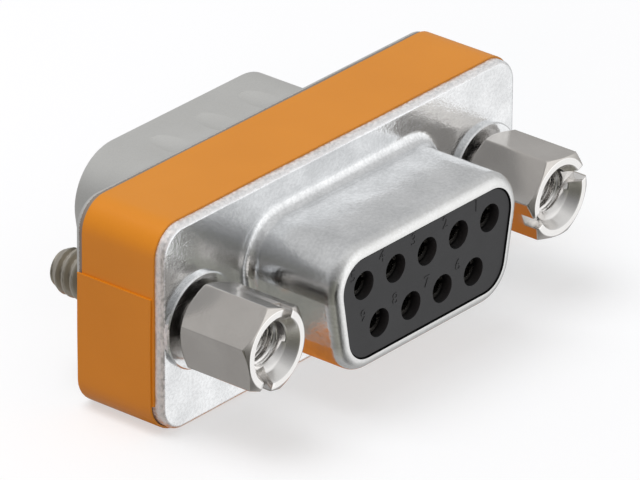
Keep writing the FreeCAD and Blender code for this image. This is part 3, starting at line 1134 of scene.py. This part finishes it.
# Each spot has a direction, what it adds in its core, and half the angle of its core and of its edge.
tent_spots = {
    "dim_room": ((-0.81, -0.373, 0.059), -0.46, 7.0, 72.0),
    "white_wall": ((0.463, -0.859, -0.117), 0.554, 9.0, 56.0),
    "own_shadow": ((0.1, -0.65, -0.75), -0.4, 8.0, 28.0),
    "dark_card": ((-0.2, -0.92, -0.33), -0.5, 10.0, 28.0),
}


def facing(tree, direction):
    """How far a ray points along a direction."""
    place = add(tree, "ShaderNodeTexCoord")
    node = add(tree, "ShaderNodeVectorMath", {1: direction}, operation="DOT_PRODUCT")
    join(tree, place.outputs["Generated"], node.inputs[0])
    return node.outputs["Value"]


def spot(tree, direction, adds, core_deg, edge_deg):
    """Soft round spot: its level in the core, nothing past the edge."""
    edge = math.cos(math.radians(edge_deg))
    core = math.cos(math.radians(core_deg))
    return map_value(tree, facing(tree, Vector(direction).normalized()), 0.0, adds, edge, core)


def tent_walls(tree):
    """Brightness of the tent in each direction."""
    level = map_value(tree, facing(tree, tent_slope), tent_level - 1.0, tent_level + 1.0, -1.0, 1.0)
    for values in tent_spots.values():
        level = add_values(tree, level, spot(tree, *values))
    return level


print("tent around", tent_level, "with", len(tent_spots), "spots")

# %% [markdown]
# The world shows the tent to mirrored rays, a little olive where the dim room is, and plain white to the
# viewer. The even light that it gives to everything else is redder from the left, as the side of the
# film shows.

# %% World
ambient_level = 0.45
olive_room = ((-0.7, -0.5, -0.4), 1.0, 10.0, 50.0)
olive_tint = (1.0, 0.985, 0.85)
warm_side = ((-0.95, 0.3, 0.0), 1.0, 20.0, 80.0)
warm_tint = (1.0, 0.62, 0.46)


def paint_world():
    """World with a colour and a strength for each kind of ray."""
    world = bpy.data.worlds.new("studio")
    world.use_nodes = True
    tree = world.node_tree
    inputs = tree.nodes["Background"].inputs
    from_left = by_ray(tree, spot(tree, *warm_side), {"Is Camera Ray": 0.0})
    plain = mix_colours(tree, from_left, white, warm_tint)
    mirrored = mix_colours(tree, spot(tree, *olive_room), white, olive_tint)
    rays = add(tree, "ShaderNodeLightPath")
    join(tree, mix_colours(tree, rays.outputs["Is Glossy Ray"], plain, mirrored), inputs["Color"])
    levels = {"Is Glossy Ray": tent_walls(tree), "Is Camera Ray": 1.0}
    join(tree, by_ray(tree, ambient_level, levels), inputs["Strength"])
    return world


bpy.context.scene.world = paint_world()
print("world", bpy.context.scene.world.name, "with even light of", ambient_level)

# %% [markdown]
# The photograph also shows orange in places that face down and back: low on the D-shaped tube and on
# one flat of the right screw. It is the underside of the film, seen once more in the glossy table. A
# card under the floor stands in for that mirror image; only mirrored rays can reach it. It comes a
# little further forward than the film, so that it fills the whole flat of the screw.

# %% Mirror image of the film
image_depth = 11.0
image_span = (-1.4, 6.2)
image_colour = (0.50, 0.17, 0.035)
black = (0, 0, 0)

image = flat_sheet("film_image", (-half_width, half_width), image_span, -image_depth)
dress(image, glowing_finish("film_image_glow", black, image_colour, 1.0, {}))
print("mirror image", image_depth, "mm below the axis")

# %% [markdown]
# ## Lamps
# A large soft box above and a little behind makes the light and the soft shadow under the object, and a
# weak warm one on the left opens up the front. The painted tent stands in for them in the metal, so the
# lamps themselves are hidden from mirrored rays.

# %% Lamps
key_direction = (-0.22, 0.25, 0.94)
key_distance = 420.0
key_size = 260.0
key_watts = 0.95
fill_direction = (-0.82, -0.45, 0.3)
fill_distance = 520.0
fill_size = 160.0
fill_watts = 0.33
fill_colour = (1.0, 0.68, 0.53)


def soft_box(name, direction, distance, size, power, colour=white):
    """Square area lamp that faces the object from a direction."""
    light = bpy.data.lights.new(name, "AREA")
    light.color = colour
    light.shape = "SQUARE"
    light.size = size * MM
    light.energy = power
    lamp = bpy.data.objects.new(name, light)
    bpy.context.scene.collection.objects.link(lamp)
    aim = Vector(direction).normalized()
    lamp.location = aim * distance * MM
    lamp.rotation_mode = "QUATERNION"
    lamp.rotation_quaternion = aim.to_track_quat("Z", "Y")
    lamp.visible_glossy = False
    return lamp


soft_box("key_box", key_direction, key_distance, key_size, key_watts)
soft_box("fill_box", fill_direction, fill_distance, fill_size, fill_watts, fill_colour)

# %% [markdown]
# ## Camera
# The angle, distance and lens were solved from the nine contact holes and the box's corners in the
# photograph. It is a long lens from the left front, about 26 degrees above the floor.

# %% Camera
azimuth_deg = 50.391
elevation_deg = 26.41
roll_deg = 0.419
camera_distance = 466.784
aim_right = -1.253
aim_up = 0.136
sensor_width = 36.0
focal_length = 467.7


def place_camera():
    """Camera that looks at the object from the solved angle."""
    azimuth = math.radians(azimuth_deg)
    elevation = math.radians(elevation_deg)
    roll = math.radians(roll_deg)
    back = Vector((
        -math.sin(azimuth) * math.cos(elevation),
        -math.cos(azimuth) * math.cos(elevation),
        math.sin(elevation),
    ))
    level = (-back).cross(Vector((0, 0, 1))).normalized()
    upright = level.cross(-back)
    right = level * math.cos(roll) + upright * math.sin(roll)
    up = upright * math.cos(roll) - level * math.sin(roll)
    place = (right * aim_right + up * aim_up + back * camera_distance) * MM
    data = bpy.data.cameras.new("camera")
    data.sensor_width = sensor_width
    data.lens = focal_length
    data.clip_start = 0.01
    data.clip_end = 10.0
    camera = bpy.data.objects.new("camera", data)
    bpy.context.scene.collection.objects.link(camera)
    turn = Matrix((right, up, back)).transposed().to_4x4()
    camera.matrix_world = Matrix.Translation(place) @ turn
    bpy.context.scene.camera = camera
    return camera


camera = place_camera()
bpy.context.scene.view_settings.view_transform = "Standard"
print("camera at", tuple(round(v / MM, 1) for v in camera.location))
